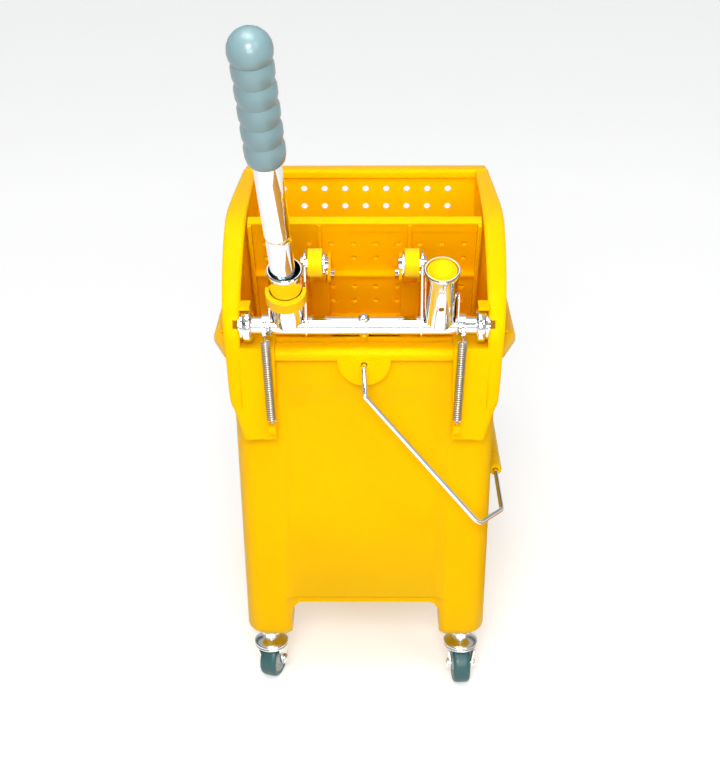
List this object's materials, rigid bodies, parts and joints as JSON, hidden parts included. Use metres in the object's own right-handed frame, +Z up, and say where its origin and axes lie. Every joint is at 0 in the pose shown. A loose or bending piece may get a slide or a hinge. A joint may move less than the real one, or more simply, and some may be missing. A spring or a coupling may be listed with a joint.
{
  "type": "mop bucket with wringer",
  "caption": "Narrow wheeled cleaning bucket with a lever-driven press wringer, swinging wire carrying handle and swivel casters.",
  "frame": {"origin": "on the floor, under the centre of the overall box, at rest with the lever forward", "axes": "+X across, to the right as seen from the lever end; +Y from the lever end to the open end; +Z up"},
  "size_m": [0.269, 0.5446, 0.6656],
  "materials": {
    "yellow_plastic": "satin moulded",
    "chrome": "polished",
    "spring_steel": "bright drawn wire",
    "grip_rubber": "matt",
    "tread_rubber": "satin",
    "core_plastic": "matt",
    "zinc_steel": "zinc plated"
  },
  "bodies": {
    "trolley": {"bucket_shell": "yellow_plastic", "wringer_body": "yellow_plastic", "shaft_bushing_left": "chrome", "shaft_bushing_right": "chrome", "plate_hinge_pin_left": "chrome", "plate_hinge_pin_right": "chrome", "return_spring_left": "spring_steel", "return_spring_right": "spring_steel", "caster_stem_front_left": "zinc_steel", "caster_stem_front_right": "zinc_steel", "caster_stem_rear_left": "zinc_steel", "caster_stem_rear_right": "zinc_steel"},
    "lever": {"lever_shaft": "chrome", "shaft_bolt": "chrome", "socket_left": "chrome", "socket_right": "chrome", "crank_plate_left": "chrome", "crank_plate_right": "chrome", "crank_bolt_left": "chrome", "crank_bolt_right": "chrome", "socket_gusset_left": "chrome", "socket_gusset_right": "chrome", "spring_eye_left": "chrome", "spring_eye_right": "chrome", "socket_plug": "yellow_plastic", "lock_ring": "yellow_plastic", "handle_tube": "chrome", "handle_grip": "grip_rubber"},
    "press": {"press_plate": "yellow_plastic", "link_bolt_left": "chrome", "link_bolt_right": "chrome"},
    "link_left": {"push_link_left": "yellow_plastic"},
    "link_right": {"push_link_right": "yellow_plastic"},
    "bail": {"bail_wire": "chrome", "bail_grip": "yellow_plastic"},
    "caster_front_left": {"caster_cup_front_left": "zinc_steel", "caster_fork_front_left": "zinc_steel", "caster_axle_front_left": "zinc_steel"},
    "wheel_front_left": {"wheel_tread_front_left": "tread_rubber", "wheel_core_front_left": "core_plastic"},
    "caster_front_right": {"caster_cup_front_right": "zinc_steel", "caster_fork_front_right": "zinc_steel", "caster_axle_front_right": "zinc_steel"},
    "wheel_front_right": {"wheel_tread_front_right": "tread_rubber", "wheel_core_front_right": "core_plastic"},
    "caster_rear_left": {"caster_cup_rear_left": "zinc_steel", "caster_fork_rear_left": "zinc_steel", "caster_axle_rear_left": "zinc_steel"},
    "wheel_rear_left": {"wheel_tread_rear_left": "tread_rubber", "wheel_core_rear_left": "core_plastic"},
    "caster_rear_right": {"caster_cup_rear_right": "zinc_steel", "caster_fork_rear_right": "zinc_steel", "caster_axle_rear_right": "zinc_steel"},
    "wheel_rear_right": {"wheel_tread_rear_right": "tread_rubber", "wheel_core_rear_right": "core_plastic"}
  },
  "joints": [
    {"name": "lever_press", "type": "hinge", "parent": "trolley", "child": "lever", "pos_m": [0, -0.13182, 0.3895], "axis": [-1, 0, 0], "range_deg": [0, 40], "stiffness_Nm_per_rad": 2, "springref_deg": -20.05, "deforming": ["return_spring_left", "return_spring_right"]},
    {"name": "plate_swing", "type": "hinge", "parent": "trolley", "child": "press", "pos_m": [0, 0.03318, 0.3], "axis": [-1, 0, 0], "range_deg": [0, 24.6]},
    {"name": "link_left_turn", "type": "hinge", "parent": "press", "child": "link_left", "pos_m": [-0.0405, -0.0422, 0.40342], "axis": [1, 0, 0], "range_deg": [0, 43.8]},
    {"name": "link_right_turn", "type": "hinge", "parent": "press", "child": "link_right", "pos_m": [0.0405, -0.0422, 0.40342], "axis": [1, 0, 0], "range_deg": [0, 43.8]},
    {"name": "bail_swing", "type": "hinge", "parent": "trolley", "child": "bail", "pos_m": [0, 0.05518, 0.356], "axis": [0, -1, 0], "range_deg": [0, 90]},
    {"name": "swivel_front_left", "type": "hinge", "parent": "trolley", "child": "caster_front_left", "pos_m": [-0.093, -0.10482, 0.0405], "axis": [0, 0, 1], "continuous": true},
    {"name": "roll_front_left", "type": "hinge", "parent": "caster_front_left", "child": "wheel_front_left", "pos_m": [-0.09145, -0.10007, 0.019], "axis": [-0.9511, 0.309, 0], "continuous": true},
    {"name": "swivel_front_right", "type": "hinge", "parent": "trolley", "child": "caster_front_right", "pos_m": [0.093, -0.10482, 0.0405], "axis": [0, 0, 1], "continuous": true},
    {"name": "roll_front_right", "type": "hinge", "parent": "caster_front_right", "child": "wheel_front_right", "pos_m": [0.09326, -0.10981, 0.019], "axis": [0.9986, 0.0523, 0], "continuous": true},
    {"name": "swivel_rear_left", "type": "hinge", "parent": "trolley", "child": "caster_rear_left", "pos_m": [-0.093, 0.21218, 0.0405], "axis": [0, 0, 1], "continuous": true},
    {"name": "roll_rear_left", "type": "hinge", "parent": "caster_rear_left", "child": "wheel_rear_left", "pos_m": [-0.09213, 0.2171, 0.019], "axis": [-0.9848, 0.1736, 0], "continuous": true},
    {"name": "swivel_rear_right", "type": "hinge", "parent": "trolley", "child": "caster_rear_right", "pos_m": [0.093, 0.21218, 0.0405], "axis": [0, 0, 1], "continuous": true},
    {"name": "roll_rear_right", "type": "hinge", "parent": "caster_rear_right", "child": "wheel_rear_right", "pos_m": [0.09129, 0.21688, 0.019], "axis": [-0.9397, -0.342, 0], "continuous": true}
  ],
  "couplings": [
    {"joint": "plate_swing", "follows": "lever_press", "ratio": 0.613},
    {"joint": "link_left_turn", "follows": "lever_press", "ratio": 1.094},
    {"joint": "link_right_turn", "follows": "lever_press", "ratio": 1.094}
  ]
}
